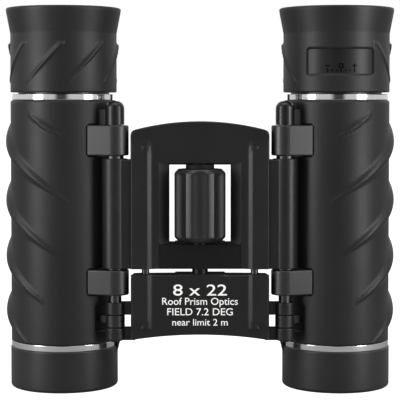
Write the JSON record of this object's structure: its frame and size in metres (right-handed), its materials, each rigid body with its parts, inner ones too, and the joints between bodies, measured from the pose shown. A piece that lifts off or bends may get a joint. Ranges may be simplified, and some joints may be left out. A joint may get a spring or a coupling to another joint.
{
  "type": "compact binoculars",
  "caption": "Compact folding roof-prism binoculars: two rubber-armoured barrels on a double-hinge bridge with a central focus wheel, a sliding focus plate and a dioptre eyecup.",
  "frame": {"origin": "middle of the bounding box, on the plane of the objective rims on which it stands", "axes": "+Z from the objectives to the eyecups, +X to the right barrel, -Y to the hinge and wheel side"},
  "size_m": [0.095, 0.0304, 0.0924],
  "materials": {
    "armour_rubber": "satin moulded rubber",
    "eyecup_rubber": "matte soft rubber",
    "barrel_black": "satin black",
    "hood_black": "satin to gloss black",
    "trim_silver": "bright plated",
    "inner_black": "matte black",
    "prism_glass": "polished",
    "coated_lens": "polished, blue-green coating",
    "lens_glass": "polished",
    "rod_steel": "ground",
    "bridge_black": "fine spark-eroded black",
    "screw_black": "black oxide",
    "scale_plate": "gloss black with pale marks",
    "spindle_steel": "black oiled steel",
    "wheel_core": "satin",
    "wheel_rubber": "satin fluted rubber"
  },
  "bodies": {
    "bridge": {"bridge_frame": "bridge_black", "bridge_back_cover": "bridge_black", "bridge_screws": "screw_black", "left_hinge_rod": "rod_steel", "right_hinge_rod": "rod_steel", "hinge_washers": "rod_steel", "guide_pins": "rod_steel", "wheel_thrust_washers": "wheel_core"},
    "focus_wheel": {"focus_wheel_hub": "wheel_core", "focus_wheel_grip": "wheel_rubber"},
    "focus_carriage": {"focus_plate": "bridge_black", "focus_spindle": "spindle_steel", "spindle_pin": "rod_steel"},
    "diopter_ring": {"diopter_ring": "inner_black", "diopter_scale": "scale_plate", "right_eyecup": "eyecup_rubber"},
    "right_eyepiece": {"right_eyepiece_tube": "inner_black", "right_eye_lens": "coated_lens", "right_eyepiece_spacer": "inner_black", "right_field_lens": "lens_glass", "right_field_stop": "inner_black"},
    "left_objective": {"left_objective_cell": "inner_black", "left_crown_lens": "coated_lens", "left_flint_lens": "lens_glass", "left_lens_retainer": "inner_black"},
    "left_barrel": {"left_barrel_body": "barrel_black", "left_armour": "armour_rubber", "left_rod_cap": "armour_rubber", "left_objective_hood": "hood_black", "left_lower_trim_ring": "trim_silver", "left_upper_trim_ring": "trim_silver", "left_prism_cage": "inner_black", "left_helper_prism": "prism_glass", "left_roof_prism": "prism_glass", "left_prism_retainer": "inner_black", "left_eyepiece_tube": "inner_black", "left_eye_lens": "coated_lens", "left_eyepiece_spacer": "inner_black", "left_field_lens": "lens_glass", "left_field_stop": "inner_black", "left_eyecup_carrier": "inner_black", "left_eyecup": "eyecup_rubber"},
    "right_objective": {"right_objective_cell": "inner_black", "right_crown_lens": "coated_lens", "right_flint_lens": "lens_glass", "right_lens_retainer": "inner_black"},
    "right_barrel": {"right_barrel_body": "barrel_black", "right_armour": "armour_rubber", "right_rod_cap": "armour_rubber", "right_objective_hood": "hood_black", "right_lower_trim_ring": "trim_silver", "right_upper_trim_ring": "trim_silver", "right_prism_cage": "inner_black", "right_helper_prism": "prism_glass", "right_roof_prism": "prism_glass", "right_prism_retainer": "inner_black"}
  },
  "joints": [
    {"name": "left_barrel_fold", "type": "hinge", "parent": "bridge", "child": "left_barrel", "pos_m": [-0.0203, -0.00906, 0.04], "axis": [0, 0, -1], "range_deg": [-13, 72]},
    {"name": "right_barrel_fold", "type": "hinge", "parent": "bridge", "child": "right_barrel", "pos_m": [0.0203, -0.00906, 0.04], "axis": [0, 0, 1], "range_deg": [-13, 72]},
    {"name": "focus_wheel_turn", "type": "hinge", "parent": "bridge", "child": "focus_wheel", "pos_m": [0, -0.00906, 0.045], "axis": [0, 0, 1], "range_deg": [-252, 252]},
    {"name": "focus_carriage_slide", "type": "slide", "parent": "bridge", "child": "focus_carriage", "axis": [0, 0, 1], "range_m": [-0.00105, 0.00105]},
    {"name": "left_objective_slide", "type": "slide", "parent": "left_barrel", "child": "left_objective", "axis": [0, 0, 1], "range_m": [-0.00105, 0.00105]},
    {"name": "right_objective_slide", "type": "slide", "parent": "right_barrel", "child": "right_objective", "axis": [0, 0, 1], "range_m": [-0.00105, 0.00105]},
    {"name": "diopter_turn", "type": "hinge", "parent": "right_barrel", "child": "diopter_ring", "pos_m": [0.0334, 0.00114, 0.08], "axis": [0, 0, 1], "range_deg": [-60, 60]},
    {"name": "right_eyepiece_slide", "type": "slide", "parent": "right_barrel", "child": "right_eyepiece", "axis": [0, 0, 1], "range_m": [-0.0006, 0.0006]}
  ],
  "couplings": [
    {"joint": "focus_wheel_turn", "follows": "focus_carriage_slide", "rad_per_m": 4188.7},
    {"joint": "left_objective_slide", "follows": "focus_carriage_slide", "ratio": 1},
    {"joint": "right_objective_slide", "follows": "focus_carriage_slide", "ratio": 1},
    {"joint": "diopter_turn", "follows": "right_eyepiece_slide", "rad_per_m": 1745.3}
  ]
}
